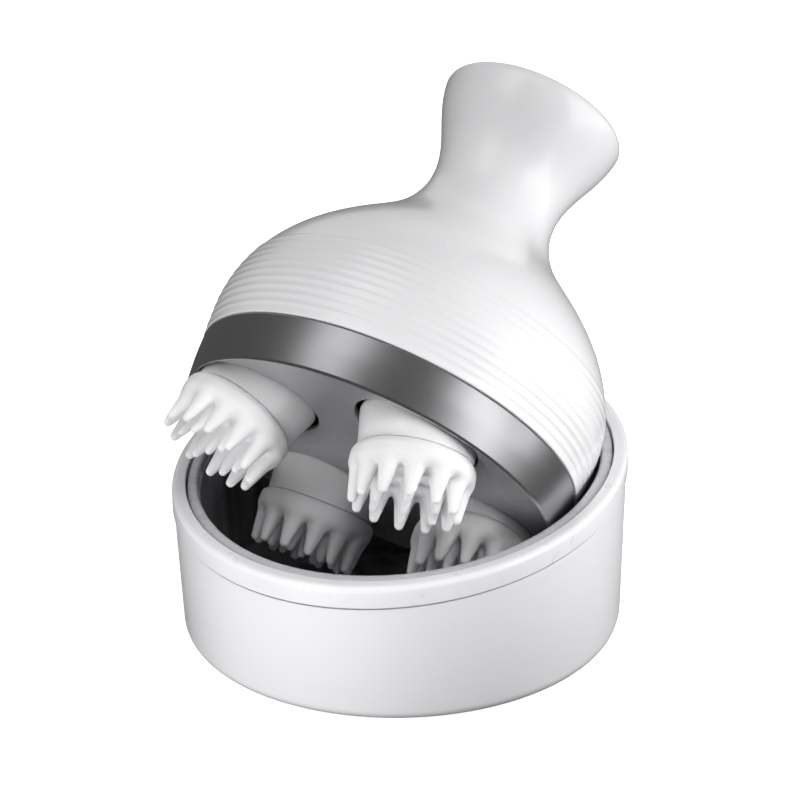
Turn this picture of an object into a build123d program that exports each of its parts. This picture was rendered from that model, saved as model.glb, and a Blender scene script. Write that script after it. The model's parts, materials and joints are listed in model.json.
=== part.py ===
"""Scalp massager resting at a lean in the bowl of its charging dock.

Frame: millimetres, +Z up, origin at the centre of the dock's underside on the table.
The massager's own axis runs from its band up to its handle, and the four massage heads
point the other way. In the rest pose the handle leans to the back right.
"""
import os
from math import acos, cos, pi, radians, sin, tan

from build123d import *

# ---- dock -------------------------------------------------------------------------
DOCK_R = 60.0              # outside radius at the rim
DOCK_FOOT_R = 58.2         # outside radius just above the rounded bottom edge
DOCK_EDGE_R = 4.0          # bottom edge rounding
DOCK_WALL = 2.0
DOCK_BOTTOM = 1.0          # the foot pad holds the shell this far off the table
SEAM_Z = 40.8              # height of the seam plane on the dock's axis
SEAM_GAP = 0.5
RIM_H = 6.2                # rim ring above the seam
SLANT = 7.6                # the rim plane drops by this many degrees
SLANT_AZ = 234.5           # towards this side
BOWL_R = 53.0              # bowl radius at the rim
BOWL_FLOOR_R = 51.4        # bowl radius at its floor
BOWL_FLOOR_Z = 6.0
BOWL_WALL = 1.6
TRIM_W = 2.9               # width of the grey trim ring on top of the bowl
TRIM_H = 3.0
TRIM_DROP = 0.4            # trim ring below the rim ring
RIM_W = 3.7                # leaves a groove of 0.4 outside the trim ring
RIM_SPIGOT = 4.0           # the rim's spigot reaches this far down inside the shell
BASE_R = 50.0
BASE_TOP = 3.4
PAD_R = 44.0
PAD_T = 1.6
SCREW_R = 1.25
SCREW_HEAD_R = 2.4
DOCK_SCREW_RING = 47.2
COIL_LOW = 17.0            # transmitter coil around the bowl
SOCKET_Z = 12.0            # charging socket in the back wall

# ---- massager: place and leaning axis --------------------------------------------
BAND_CENTRE = (-8.3, -14.1, 51.8)   # centre of the band's lower edge
LEAN_TILT = 51.8           # axis away from vertical
LEAN_AZ = 57.6             # towards this side

# ---- massager body, in its own frame: z = 0 at the band's lower edge ---------------
BAND_R = 51.6
BAND_TOP_R = 52.7
BAND_H = 12.8
BAND_WALL = 0.9
SHELL_T = 2.2
DOME_TOP = 109.0           # where the handle's rounded rim begins
DOME_OUTLINE = [(53.0, 13.0), (53.6, 22.0), (52.8, 31.5), (47.2, 44.5), (33.6, 59.0),
                (22.4, 69.5), (18.1, 79.0), (18.6, 89.0), (25.3, DOME_TOP)]
RIM_ROUND = 2.4            # rounding of the handle's top rim
SPIGOT_R = 51.2
SPIGOT_LOW = 8.6
CAP_R = 22.7
CAP_LOW = 108.5
CAP_T = 2.4
PLATE_LOW = 1.4            # underside of the base plate
PLATE_T = 2.0
PLATE_R = 50.6
HEAD_HOLE_R = 16.8

# ---- gear train -------------------------------------------------------------------
PRESSURE = radians(25.0)
ADDENDUM = 0.8             # in modules
DEDENDUM = 1.0
BACKLASH = 0.14
HEAD_MODULE = 1.0
SUN_TEETH = 40
HEAD_TEETH = 27
FINE_MODULE = 0.6
WHEEL_TEETH = 60
PINION_TEETH = 12
HEAD_PITCH_R = HEAD_MODULE * (SUN_TEETH + HEAD_TEETH) / 2
IDLER_PITCH_R = FINE_MODULE * (WHEEL_TEETH + PINION_TEETH) / 2
GEAR_LOW = 12.8            # head gears and the sun's lower wheel
GEAR_T = 4.0
FINE_LOW = 18.0            # sun's upper wheel and the idler's pinion
FINE_T = 3.0
CHASSIS_LOW = 22.4
CHASSIS_T = 2.6
WHEEL_LOW = 26.2           # idler's wheel and the motor pinion
BRACKET_LOW = 30.6
BRACKET_T = 2.0
BEARING_LOW = 10.8         # plate with the heads' sleeves
BEARING_T = 1.4
POST_RING = 44.0           # posts between the heads
POST_R = 3.0
POST_SCREW_R = 1.0
RUN = 0.05                 # radial clearance of a running fit
AXLE_R = 2.0
JOURNAL_R = 3.0
SHAFT_R = 1.0
MOTOR_R = 12.0
MOTOR_H = 20.0

# ---- massage heads ----------------------------------------------------------------
PIVOT_H = 5.4              # where a head's axis meets its gear's axis
LEAN = 13.0
FIRST_HEAD = 224.5         # heads sit a quarter turn apart, counted backwards from here
HEAD_LEANS = [295.0, 127.0, 10.0, 238.0]
COLLAR_TOP = 1.0
COLLAR_TOP_R = 15.9
COLLAR_LOW = -9.8
COLLAR_LOW_R = 14.6
COLLAR_T = 1.4
STUB_R = 7.5
STUB_LOW = -6.6
STUB_TOP = 5.4
BALL_R = 3.6
PIN_R = 1.0
PIN_HALF = 5.4
SOCKET_R = 4.6
SLOT_HALF = 6.2
SLOT_W = 2.5
SLOT_LOW = -2.8
BUSH_R = 8.6
BUSH_TOP = 4.0
SLEEVE_R = 10.2
SLEEVE_LOW = 1.3
CLIP_LOW = 4.3
CLIP_T = 0.7
CARRIER_LOW = -10.8
BRUSH_R = 15.3
BRUSH_TIP = -24.6
BRUSH_PLATE_LOW = -14.8
SKIRT_LOW = -17.0
OUTER_FINGERS = 12
OUTER_FINGER_R = 12.9
INNER_FINGERS = 6
INNER_FINGER_R = 7.0

# ---- battery, board and button ----------------------------------------------------
CELL_R = 7.0
CELL_L = 43.0
CELL_LOW = 54.6
HOLDER_T = 1.2
BOARD_Z = 101.7
BOARD_T = 1.2
BUTTON_R = 7.0
BUTTON_GAP = 0.35
BUTTON_TRAVEL = 0.8
LENS_R = 1.2
LENS_OUT = 13.0


def ring(r_out, r_in, low, high):
    """Flat washer-like ring about the local z axis."""
    tube = Cylinder(r_out, high - low, align=(Align.CENTER, Align.CENTER, Align.MIN))
    tube -= Cylinder(r_in, high - low, align=(Align.CENTER, Align.CENTER, Align.MIN))
    return Pos(0, 0, low) * tube


def disc(radius, low, high):
    """Solid disc about the local z axis."""
    return Pos(0, 0, low) * Cylinder(radius, high - low, align=(Align.CENTER, Align.CENTER, Align.MIN))


def turned(points):
    """Solid of revolution about z of a closed outline of (radius, z) points."""
    outline = Polyline(*[(r, 0, z) for r, z in points], close=True)
    return revolve(make_face(outline), Axis.Z)


def polar(radius, degrees, z=0.0):
    """Location at a radius and angle about the local z axis."""
    return Pos(radius * cos(radians(degrees)), radius * sin(radians(degrees)), z)


def unit(tilt, azimuth):
    """Direction tilted away from +Z towards an azimuth, both in degrees."""
    t = radians(tilt)
    a = radians(azimuth)
    return (sin(t) * cos(a), sin(t) * sin(a), cos(t))


def body_frame():
    """Frame of the leaning massager: z along its axis, x down the lean."""
    x_dir = unit(LEAN_TILT + 90, LEAN_AZ)
    return Location(Plane(origin=BAND_CENTRE, x_dir=x_dir, z_dir=unit(LEAN_TILT, LEAN_AZ)))


def head_angle(i):
    """Angle of head i about the massager's axis."""
    return FIRST_HEAD - 90.0 * i


def head_frame(i):
    """Frame of head i, in the massager's frame: origin on its pivot, z up its own axis."""
    turn = HEAD_LEANS[i]
    tilt = Rot(0, 0, turn) * Rot(0, -LEAN, 0) * Rot(0, 0, -turn)
    return polar(HEAD_PITCH_R, head_angle(i), PIVOT_H) * tilt


def above_seam(offset):
    """Large block that fills everything above the slanted plane at this offset."""
    normal = unit(SLANT, SLANT_AZ)
    plane = Plane(origin=(0, 0, SEAM_Z + offset), z_dir=normal)
    return Location(plane) * Box(200, 200, 80, align=(Align.CENTER, Align.CENTER, Align.MIN))


# ---- involute gears ----------------------------------------------------------------
def involute(angle):
    """The involute function."""
    return tan(angle) - angle


def tooth_points(teeth, module):
    """Half of one tooth's outline, from root to tip, as (radius, angle from its middle)."""
    pitch_r = module * teeth / 2
    base_r = pitch_r * cos(PRESSURE)
    tip_r = pitch_r + ADDENDUM * module
    root_r = pitch_r - DEDENDUM * module
    half = pi / (2 * teeth) - BACKLASH / (2 * pitch_r) + involute(PRESSURE)
    start_r = max(base_r, root_r)
    flank = [start_r + (tip_r - start_r) * k / 2 for k in range(3)]
    points = [(r, half - involute(acos(min(1.0, base_r / r)))) for r in flank]
    if root_r < start_r:
        points.insert(0, (root_r, points[0][1]))
    return points


def gear(teeth, module, low, height, tooth_at=0.0):
    """Spur gear about the local z axis with a tooth pointing at the given angle."""
    half = tooth_points(teeth, module)
    outline = []
    for k in range(teeth):
        middle = radians(tooth_at) + 2 * pi * k / teeth
        rising = [(r, middle - a) for r, a in half]
        falling = [(r, middle + a) for r, a in reversed(half)]
        outline += rising + falling
    points = [(r * cos(a), r * sin(a)) for r, a in outline]
    face = make_face(Polyline(*points, close=True))
    return Pos(0, 0, low) * extrude(face, height)


# ---- dock parts ---------------------------------------------------------------------
def dock_shell():
    """Tapered outer wall with a rounded bottom edge, cut off along the slanted seam."""
    top = SEAM_Z + 12
    height = top - DOCK_BOTTOM
    base = (Align.CENTER, Align.CENTER, Align.MIN)
    outer = Pos(0, 0, DOCK_BOTTOM) * Cone(DOCK_FOOT_R, DOCK_R, height, align=base)
    outer = fillet(outer.edges().sort_by(Axis.Z)[0], DOCK_EDGE_R)
    hollow = Cone(DOCK_FOOT_R - DOCK_WALL, DOCK_R - DOCK_WALL, height, align=base)
    shell = outer - Pos(0, 0, DOCK_BOTTOM + DOCK_WALL) * hollow
    return shell - disc(BASE_R + 0.2, 0, 10) - above_seam(0) - socket_cutter()


def dock_rim():
    """White ring above the seam, rounded on top, with a spigot inside the shell."""
    rim = ring(DOCK_R, DOCK_R - RIM_W, 20, 70) & above_seam(SEAM_GAP)
    rim -= above_seam(RIM_H)
    top = rim.faces().sort_by(Axis.Z)[-1]
    rim = fillet(max(top.edges(), key=lambda e: e.length), 2.4)
    spigot_r = DOCK_R - 3.0
    spigot = ring(spigot_r, DOCK_R - RIM_W, 10, 70) & above_seam(-RIM_SPIGOT)
    return rim + (spigot - above_seam(SEAM_GAP + 1))


def bowl_trim():
    """Grey trim ring that finishes the bowl's edge."""
    trim = ring(BOWL_R + TRIM_W, BOWL_R, 20, 70) & above_seam(RIM_H - TRIM_DROP - TRIM_H)
    trim -= above_seam(RIM_H - TRIM_DROP)
    top = trim.faces().sort_by(Axis.Z)[-1]
    return fillet(top.edges(), 1.1)


def bowl_liner():
    """Dark cup inside the dock, closed by its floor, with bosses for the base screws."""
    top = SEAM_Z + 16
    height = top - BOWL_FLOOR_Z
    growth = (BOWL_R - BOWL_FLOOR_R) / height
    base = (Align.CENTER, Align.CENTER, Align.MIN)
    hollow = Cone(BOWL_FLOOR_R, BOWL_R, height, align=base)
    hollow = fillet(hollow.edges().sort_by(Axis.Z)[0], 3.0)
    outer = Cone(BOWL_FLOOR_R + BOWL_WALL, BOWL_R + BOWL_WALL + growth * BOWL_WALL,
                 height + BOWL_WALL, align=base)
    cup = Pos(0, 0, BOWL_FLOOR_Z - BOWL_WALL) * outer
    for place in dock_screw_places():
        cup += place * disc(3.4, BASE_TOP, BOWL_FLOOR_Z - 1)
    for place in dock_screw_places():
        cup -= place * disc(SCREW_R, 0, BOWL_FLOOR_Z - 0.6)
    return cup - Pos(0, 0, BOWL_FLOOR_Z) * hollow - above_seam(RIM_H - TRIM_DROP - TRIM_H)


def dock_screw_places():
    """Places of the four base screws."""
    return [polar(DOCK_SCREW_RING, 45 + 90 * k) for k in range(4)]


def dock_base():
    """Closing plate under the bowl, with a recess for the foot pad and screw holes."""
    plate = disc(BASE_R, DOCK_BOTTOM, BASE_TOP) - disc(PAD_R, 0, PAD_T)
    for place in dock_screw_places():
        plate -= place * disc(SCREW_HEAD_R + 0.2, 0, 2.3)
        plate -= place * disc(SCREW_R, 0, 5)
    return plate


def foot_pad():
    """Rubber disc that the dock stands on."""
    return disc(PAD_R, 0, PAD_T)


def dock_screws():
    """Four screws from the base plate up into the bowl's bosses."""
    screw = disc(SCREW_HEAD_R, DOCK_BOTTOM + 0.2, 2.3) + disc(SCREW_R, 2.2, BOWL_FLOOR_Z - 0.6)
    screw -= Pos(0, 0, DOCK_BOTTOM) * Box(2.8, 0.6, 1.6)
    return Part() + [place * screw for place in dock_screw_places()]


def transmitter_coil():
    """Copper ring wound around the outside of the bowl."""
    return ring(56.4, 55.0, COIL_LOW, COIL_LOW + 6)


def socket_shape(width, height, depth, outside):
    """Rounded slot shape that runs inwards from the back of the dock."""
    outline = RectangleRounded(width, height, height / 2 - 0.05)
    return Pos(0, outside, SOCKET_Z) * Rot(90, 0, 0) * extrude(outline, depth)


def socket_cutter():
    """Opening for the charging socket through the back wall."""
    return socket_shape(9.4, 3.6, 10, 62)


def usb_socket():
    """Metal socket for a charging lead, in the back of the dock."""
    mouth_y = DOCK_FOOT_R + 0.3
    socket = socket_shape(9.0, 3.2, 4.2, mouth_y) - socket_shape(8.3, 2.5, 3.4, mouth_y)
    return socket + Pos(0, mouth_y - 2.6, SOCKET_Z) * Box(6.6, 3.2, 0.7)


def dock_board():
    """Small circuit board behind the socket, outside the bowl."""
    return Pos(0, 53.8, SOCKET_Z) * Box(14.0, 0.8, 10.0)


# ---- massager body parts --------------------------------------------------------------
def inset(points, amount):
    """Points moved towards the axis side along the outline's normal."""
    moved = []
    for k, (r, z) in enumerate(points):
        before = points[max(k - 1, 0)]
        after = points[min(k + 1, len(points) - 1)]
        dr = after[0] - before[0]
        dz = after[1] - before[1]
        length = (dr * dr + dz * dz) ** 0.5
        moved.append((r - amount * dz / length, z + amount * dr / length))
    return moved


def dome_shell():
    """Dome, neck and flared handle in one hollow shell, with a spigot for the band."""
    outer = Spline(*[(r, 0, z) for r, z in DOME_OUTLINE], tangents=[(0, 0, 1), (0.1, 0, 1)])
    crown = DOME_TOP + RIM_ROUND
    top_r = DOME_OUTLINE[-1][0] - RIM_ROUND
    corner = RIM_ROUND * (1 - cos(pi / 4))
    rim = ThreePointArc(outer @ 1, (DOME_OUTLINE[-1][0] - corner, 0, crown - corner),
                        (top_r, 0, crown))
    inner_points = inset(DOME_OUTLINE, SHELL_T)
    inner_points[0] = (DOME_OUTLINE[0][0] - SHELL_T, DOME_OUTLINE[0][1])
    inner_points[-1] = (CAP_R - 1.4, CAP_LOW - 1.6)
    inner = Spline(*[(r, 0, z) for r, z in inner_points])
    ledge = Polyline((top_r, 0, crown), (top_r, 0, CAP_LOW), (CAP_R - 1.4, 0, CAP_LOW), inner @ 1)
    foot = Line(inner @ 0, outer @ 0)
    shell = revolve(make_face([outer, rim, ledge, inner, foot]), Axis.Z)
    return shell + ring(SPIGOT_R, SPIGOT_R - 1.6, SPIGOT_LOW, DOME_OUTLINE[0][1] + 1.5)


def silver_band():
    """Slightly crowned metal band around the foot of the dome."""
    low = (BAND_R, 0, 0.4)
    high = (BAND_TOP_R, 0, BAND_H)
    middle = ((BAND_R + BAND_TOP_R) / 2 + 0.25, 0, BAND_H / 2)
    outer = ThreePointArc(low, middle, high)
    inside = Polyline(high, (SPIGOT_R + 0.05, 0, BAND_H), (SPIGOT_R + 0.05, 0, SPIGOT_LOW - 0.2),
                      (BAND_R - BAND_WALL, 0, SPIGOT_LOW - 0.2), (BAND_R - BAND_WALL, 0, 0),
                      (BAND_R - 0.4, 0, 0), low)
    return revolve(make_face([outer, inside]), Axis.Z)


def post_places():
    """Places of the four posts between the heads."""
    return [polar(POST_RING, head_angle(k) + 45) for k in range(4)]


def base_plate():
    """Grey underside with four round openings, posts and a boss for the sun gear's axle."""
    top = PLATE_LOW + PLATE_T
    plate = disc(PLATE_R, PLATE_LOW, top)
    for k in range(4):
        plate -= polar(HEAD_PITCH_R, head_angle(k)) * disc(HEAD_HOLE_R, 0, 10)
    plate = plate + disc(4.5, top, 9.0) - disc(AXLE_R, top, 10.0)
    for place in post_places():
        plate += place * disc(POST_R, top, BEARING_LOW)
    for place in post_places():
        plate -= place * disc(POST_SCREW_R, top + 0.6, BEARING_LOW)
    return plate


def sleeve_block(i, radius, low, high):
    """Cylinder about head i's leaning axis, in the massager's frame."""
    return head_frame(i) * disc(radius, low, high)


def bearing_plate():
    """Plate above the heads with four leaning sleeves for their bushes."""
    top = BEARING_LOW + BEARING_T
    plate = disc(48.4, BEARING_LOW, top)
    for k in range(4):
        plate += sleeve_block(k, SLEEVE_R, SLEEVE_LOW, 9) - disc(60, top, top + 20)
    for k in range(4):
        plate -= sleeve_block(k, BUSH_R, -5, 12)
        plate -= sleeve_block(k, BUSH_R + 0.8, BUSH_TOP, 12)
    plate -= disc(AXLE_R + 2, 0, 20)
    for place in post_places():
        plate += place * disc(POST_R, top, CHASSIS_LOW)
    for place in post_places():
        plate -= place * disc(POST_SCREW_R, 0, CHASSIS_LOW)
    return plate


def head_bushes():
    """Bushes pressed into the four leaning sleeves."""
    bush = ring(BUSH_R, STUB_R + RUN, SLEEVE_LOW, BUSH_TOP)
    return Part() + [head_frame(k) * bush for k in range(4)]


def chassis_plate():
    """Upper gear plate with bearing bosses for the head gears and the idler."""
    plate = disc(49.2, CHASSIS_LOW, CHASSIS_LOW + CHASSIS_T)
    for k in range(4):
        place = polar(HEAD_PITCH_R, head_angle(k))
        plate += place * disc(6.0, GEAR_LOW + GEAR_T + 0.6, CHASSIS_LOW)
        plate -= place * disc(JOURNAL_R + RUN, 0, 40)
    plate -= idler_place() * disc(JOURNAL_R + RUN, 0, 40)
    plate -= disc(AXLE_R, 0, 40)
    for place in post_places():
        plate -= place * disc(POST_SCREW_R, 0, 40)
    return plate


def chassis_screws():
    """Four long screws through the gear plates into the base plate's posts."""
    top = CHASSIS_LOW + CHASSIS_T
    screw = disc(2.0, top, top + 1.4) + disc(POST_SCREW_R, PLATE_LOW + PLATE_T + 1.2, top)
    screw -= Pos(0, 0, top + 1.4) * Box(2.6, 0.5, 1.2)
    return Part() + [place * screw for place in post_places()]


def idler_place():
    """Axis of the idler gear, between two heads."""
    return polar(IDLER_PITCH_R, idler_angle())


def idler_angle():
    """Angle of the idler gear about the massager's axis."""
    return FIRST_HEAD + 45.0


def sun_axle():
    """Steel axle of the sun gear."""
    return disc(AXLE_R, PLATE_LOW + PLATE_T + 0.2, CHASSIS_LOW + CHASSIS_T)


def sun_gear():
    """Compound gear: a coarse wheel for the heads under a fine wheel for the idler."""
    lower = gear(SUN_TEETH, HEAD_MODULE, GEAR_LOW, GEAR_T, head_angle(0))
    upper = gear(WHEEL_TEETH, FINE_MODULE, FINE_LOW, FINE_T, idler_angle())
    middle = disc(9.0, GEAR_LOW, FINE_LOW)
    return lower + upper + middle - disc(AXLE_R + RUN, 0, 40)


def idler_gear():
    """Idler: a fine pinion, a journal, a wheel and a top pivot in one piece."""
    half_tooth = 180.0 / PINION_TEETH
    inward = idler_angle() + 180.0
    pinion = gear(PINION_TEETH, FINE_MODULE, FINE_LOW, FINE_T, inward + half_tooth)
    wheel = gear(WHEEL_TEETH, FINE_MODULE, WHEEL_LOW, FINE_T, inward)
    journal = disc(JOURNAL_R, FINE_LOW + FINE_T, WHEEL_LOW)
    pivot = disc(1.5, WHEEL_LOW + FINE_T, BRACKET_LOW + BRACKET_T - 0.4)
    return idler_place() * (pinion + wheel + journal + pivot)


def motor_bracket():
    """Plate on three legs that holds the motor and the idler's top pivot."""
    bracket = disc(26.0, BRACKET_LOW, BRACKET_LOW + BRACKET_T)
    for k in (1, 1.5, 2):
        leg = polar(17.0, idler_angle() + 120 * k)
        bracket += leg * disc(2.6, CHASSIS_LOW + CHASSIS_T, BRACKET_LOW + 1)
    bracket -= disc(3.5, 0, 60)
    return bracket - idler_place() * disc(1.5 + RUN, 0, 60)


def motor_can():
    """Motor with its front bearing bore."""
    low = BRACKET_LOW + BRACKET_T
    can = fillet(disc(MOTOR_R, low, low + MOTOR_H).edges(), 0.8)
    return can - disc(SHAFT_R + RUN, 0, low + MOTOR_H - 3)


def motor_shaft():
    """Steel motor shaft."""
    return disc(SHAFT_R, WHEEL_LOW - 0.4, BRACKET_LOW + BRACKET_T + MOTOR_H - 4)


def motor_pinion():
    """Fine pinion on the motor shaft, in mesh with the idler's wheel."""
    half_tooth = 180.0 / PINION_TEETH
    pinion = gear(PINION_TEETH, FINE_MODULE, WHEEL_LOW, FINE_T, idler_angle() + half_tooth)
    return pinion - disc(SHAFT_R, 0, 60)


def receiver_coil():
    """Copper ring inside the dome, just above the band."""
    return ring(50.3, 48.6, 17.8, 21.8)


def battery_holder():
    """Cap over the motor with a tube for the cell and a shelf for the board."""
    motor_top = BRACKET_LOW + BRACKET_T + MOTOR_H
    cup = ring(MOTOR_R + 1.6, MOTOR_R + 0.1, motor_top - 7, motor_top + 0.2)
    deck = disc(MOTOR_R + 1.6, motor_top + 0.2, CELL_LOW - 0.2)
    tube = ring(CELL_R + 0.1 + HOLDER_T, CELL_R + 0.1, CELL_LOW - 0.2, CELL_LOW + CELL_L + 0.4)
    shelf = ring(12.0, CELL_R - 2, CELL_LOW + CELL_L + 0.4, BOARD_Z)
    return cup + deck + tube + shelf


def battery_cell():
    """Rechargeable cell with its raised contact."""
    cell = fillet(disc(CELL_R, CELL_LOW, CELL_LOW + CELL_L - 1.2).edges(), 0.8)
    return cell + disc(2.6, CELL_LOW + CELL_L - 1.3, CELL_LOW + CELL_L)


def control_board():
    """Round circuit board in the top of the handle."""
    return disc(16.8, BOARD_Z, BOARD_Z + BOARD_T)


def tactile_switch():
    """Small square switch under the button."""
    top = BOARD_Z + BOARD_T
    body = Pos(0, 0, top) * Box(6, 6, 2.2, align=(Align.CENTER, Align.CENTER, Align.MIN))
    return body + disc(1.6, top + 2.2, top + 3.0)


def handle_cap():
    """Disc that closes the top of the handle, open for the button and the status lens."""
    cap = fillet(disc(CAP_R, CAP_LOW, CAP_LOW + CAP_T).edges().sort_by(Axis.Z)[-1], 0.6)
    cap -= disc(BUTTON_R + BUTTON_GAP, 0, 200)
    return cap - Pos(LENS_OUT, 0, 0) * disc(LENS_R, 0, 200)


def status_lens():
    """Small clear lens over the charging light."""
    top = CAP_LOW + CAP_T
    return Pos(LENS_OUT, 0, 0) * disc(LENS_R, CAP_LOW, top + 0.1)


def power_button():
    """Push button with a retaining flange and a stem above the switch."""
    face = disc(BUTTON_R, CAP_LOW - 0.4, CAP_LOW + CAP_T + 0.8)
    face = fillet(face.edges().sort_by(Axis.Z)[-1], 0.7)
    flange = disc(BUTTON_R + 1.4, CAP_LOW - 1.2, CAP_LOW - 0.4)
    stem_low = BOARD_Z + BOARD_T + 3.0 + BUTTON_TRAVEL + 0.3
    return face + flange + disc(2.0, stem_low, CAP_LOW - 0.4)


# ---- massage head parts, in each head's own frame ---------------------------------------
def head_gear(i):
    """Head gear with a journal above and a ball-ended spindle below, in the body's frame."""
    wheel = gear(HEAD_TEETH, HEAD_MODULE, GEAR_LOW, GEAR_T, head_angle(i))
    journal = disc(JOURNAL_R, GEAR_LOW + GEAR_T, CHASSIS_LOW + CHASSIS_T - 0.3)
    spindle = disc(2.2, PIVOT_H, GEAR_LOW)
    ball = Pos(0, 0, PIVOT_H) * Sphere(BALL_R)
    part = wheel + journal + spindle + ball
    cross = Pos(0, 0, PIVOT_H) * cross_pin(i)
    return polar(HEAD_PITCH_R, head_angle(i)) * (part - cross)


def cross_pin(i):
    """Pin through the spindle's ball, level with both axes in the rest pose."""
    pin = Pos(0, 0, -PIN_HALF) * disc(PIN_R, 0, 2 * PIN_HALF)
    return Rot(0, 0, HEAD_LEANS[i]) * Rot(90, 0, 0) * pin


def drive_pin(i):
    """The cross pin where head i's gear carries it."""
    return polar(HEAD_PITCH_R, head_angle(i), PIVOT_H) * cross_pin(i)


def head_hub(i):
    """White collar with a web, and a slotted stub that the cross pin turns."""
    outline = [(0, STUB_LOW), (STUB_R, STUB_LOW), (STUB_R, -COLLAR_TOP),
               (COLLAR_TOP_R - COLLAR_T, -COLLAR_TOP), (COLLAR_LOW_R - COLLAR_T, COLLAR_LOW),
               (COLLAR_LOW_R, COLLAR_LOW), (COLLAR_TOP_R, COLLAR_TOP), (STUB_R, COLLAR_TOP),
               (STUB_R, STUB_TOP), (0, STUB_TOP)]
    hub = turned(outline) - disc(SOCKET_R, STUB_LOW + 1.6, STUB_TOP + 1)
    slot = Pos(0, 0, SLOT_LOW) * Box(SLOT_W, 2 * SLOT_HALF, STUB_TOP - SLOT_LOW + 1,
                                     align=(Align.CENTER, Align.CENTER, Align.MIN))
    hub -= Rot(0, 0, HEAD_LEANS[i]) * slot
    return head_frame(i) * (hub - ring(STUB_R + 1, STUB_R - 0.5, CLIP_LOW, CLIP_LOW + CLIP_T))


def retaining_ring(i):
    """Split ring in the stub's groove that holds head i up in its bush."""
    clip = ring(STUB_R + 1.2, STUB_R - 0.5, CLIP_LOW, CLIP_LOW + CLIP_T)
    return head_frame(i) * (clip - Pos(10, 0, 5) * Box(10, 3, 4))


def brush_carrier(i):
    """Stiff disc that the silicone brush is moulded on, snapped into the collar."""
    rim_r = COLLAR_LOW_R - COLLAR_T - 0.1
    return head_frame(i) * (disc(rim_r, CARRIER_LOW, CARRIER_LOW + 1.6) - disc(2.5, -20, 0))


def silicone_brush(i):
    """Soft cup with a rounded shoulder that splits into tapered fingers."""
    top_r = COLLAR_LOW_R - 0.4
    skirt_r = BRUSH_R - 0.5
    shoulder = ThreePointArc((top_r, 0, COLLAR_LOW - 0.05), (BRUSH_R - 0.25, 0, COLLAR_LOW - 0.5),
                             (BRUSH_R, 0, COLLAR_LOW - 1.7))
    inside = COLLAR_LOW_R - COLLAR_T
    rest = Polyline(shoulder @ 1, (skirt_r, 0, SKIRT_LOW), (skirt_r - 3.4, 0, SKIRT_LOW),
                    (skirt_r - 3.4, 0, BRUSH_PLATE_LOW), (0, 0, BRUSH_PLATE_LOW),
                    (0, 0, CARRIER_LOW), (inside, 0, CARRIER_LOW), (inside, 0, COLLAR_LOW - 0.05),
                    shoulder @ 0)
    brush = revolve(make_face([shoulder, rest]), Axis.Z)
    outer_finger = finger(2.2, 1.1, SKIRT_LOW + 1.0)
    inner_finger = finger(2.4, 1.1, BRUSH_PLATE_LOW + 0.5)
    for k in range(OUTER_FINGERS):
        brush += polar(OUTER_FINGER_R, 360 * k / OUTER_FINGERS) * outer_finger
    for k in range(INNER_FINGERS):
        brush += polar(INNER_FINGER_R, 360 * k / INNER_FINGERS) * inner_finger
    return head_frame(i) * (brush + inner_finger)


def finger(root_r, tip_r, root_z):
    """Tapered finger with a rounded tip, pointing down the local axis."""
    length = root_z - BRUSH_TIP - tip_r
    shaft = Cone(tip_r, root_r, length, align=(Align.CENTER, Align.CENTER, Align.MIN))
    return Pos(0, 0, BRUSH_TIP + tip_r) * (shaft + Sphere(tip_r))


# ---- writing --------------------------------------------------------------------------
def main():
    """Build every piece in the row's frame and write it."""
    os.makedirs("parts", exist_ok=True)
    lean = body_frame()
    for piece in (dock_shell, dock_rim, bowl_trim, bowl_liner, dock_base, foot_pad, dock_screws,
                  transmitter_coil, usb_socket, dock_board):
        export_step(piece(), f"parts/{piece.__name__}.step")
    for piece in (dome_shell, silver_band, base_plate, bearing_plate, head_bushes, chassis_plate,
                  chassis_screws, sun_axle, sun_gear, idler_gear, motor_bracket, motor_can,
                  motor_shaft, motor_pinion, receiver_coil, battery_holder, battery_cell,
                  control_board, tactile_switch, handle_cap, status_lens, power_button):
        export_step(lean * piece(), f"parts/{piece.__name__}.step")
    for piece in (head_gear, drive_pin, head_hub, retaining_ring, brush_carrier, silicone_brush):
        for i in range(4):
            export_step(lean * piece(i), f"parts/{piece.__name__}_{i + 1}.step")


main()
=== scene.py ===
"""Four-headed scalp massager leaning in the bowl of its charging dock.

Each piece is built in millimetres, in the frame of the dock, of the massager's body or of one
of its heads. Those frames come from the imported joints. Meshes are written out in metres.
"""
import json
import math

import bmesh
import bpy
import numpy as np
from mathutils import Matrix, Vector


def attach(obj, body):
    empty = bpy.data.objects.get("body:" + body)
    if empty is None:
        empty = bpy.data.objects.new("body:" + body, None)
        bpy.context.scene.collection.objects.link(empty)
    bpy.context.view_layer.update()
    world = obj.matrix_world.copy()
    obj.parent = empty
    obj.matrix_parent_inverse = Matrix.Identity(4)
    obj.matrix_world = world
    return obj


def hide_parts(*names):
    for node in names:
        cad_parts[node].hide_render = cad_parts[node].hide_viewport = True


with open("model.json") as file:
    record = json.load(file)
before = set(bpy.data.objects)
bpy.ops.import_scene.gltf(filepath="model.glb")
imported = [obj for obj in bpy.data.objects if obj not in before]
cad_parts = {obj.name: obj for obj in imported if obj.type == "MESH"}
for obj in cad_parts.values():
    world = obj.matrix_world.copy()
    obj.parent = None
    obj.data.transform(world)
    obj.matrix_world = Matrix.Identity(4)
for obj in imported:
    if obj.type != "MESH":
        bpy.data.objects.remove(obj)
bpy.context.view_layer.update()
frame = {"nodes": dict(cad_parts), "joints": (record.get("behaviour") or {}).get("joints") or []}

MM = 0.001
TURN = 2 * math.pi

# ---- frames of the parts ---------------------------------------------------------------
JOINTS = {j["name"]: j for j in frame["joints"]}
BAND_TOP = 12.8                 # the sun gear's underside is level with the band's top
HEADS = (1, 2, 3, 4)


def joint_axis(name):
    """Direction of a joint's axis."""
    return Vector(JOINTS[name]["axis"]).normalized()


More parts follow.
